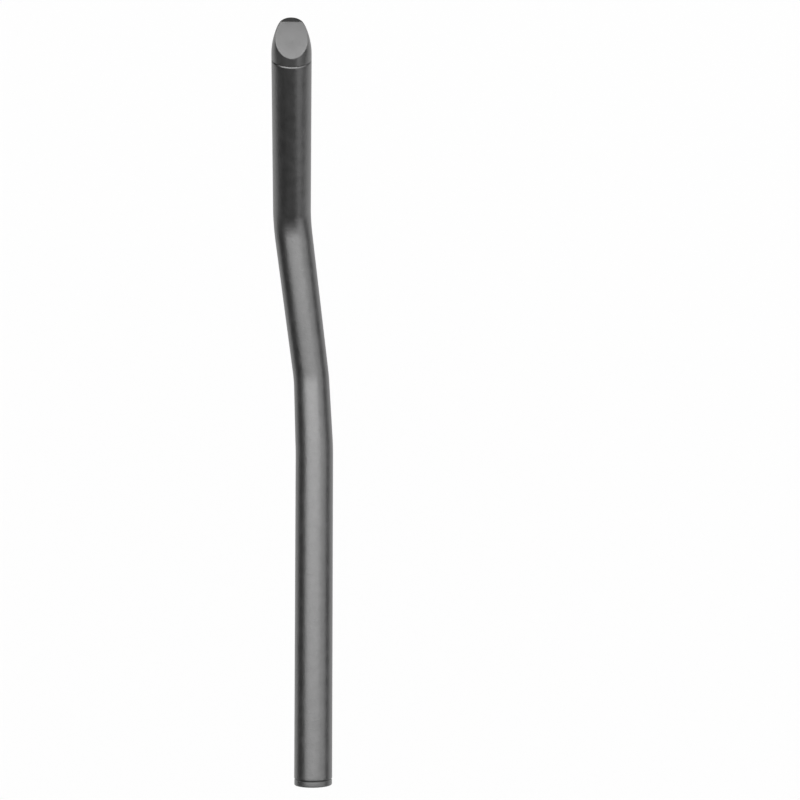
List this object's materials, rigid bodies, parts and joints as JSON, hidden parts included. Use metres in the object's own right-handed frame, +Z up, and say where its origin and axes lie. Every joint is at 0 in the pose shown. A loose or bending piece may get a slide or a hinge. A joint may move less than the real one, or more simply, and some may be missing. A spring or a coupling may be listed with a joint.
{
  "type": "aero handlebar extension",
  "caption": "Satin black bent tube that carries a rider's hand ahead of a bicycle handlebar: straight clamp section, raised grip section, slanted nose plug and flat rear plug.",
  "frame": {"origin": "on the axis of the clamp section, half way along its run", "axes": "+Y forward along the clamp section, +Z up, -X outboard"},
  "size_m": [0.0348, 0.4285, 0.1039],
  "materials": {
    "black_tube": "satin",
    "black_plug": "satin"
  },
  "bodies": {
    "root": {"extension_tube": "black_tube", "nose_plug": "black_plug", "rear_plug": "black_plug"}
  },
  "joints": []
}
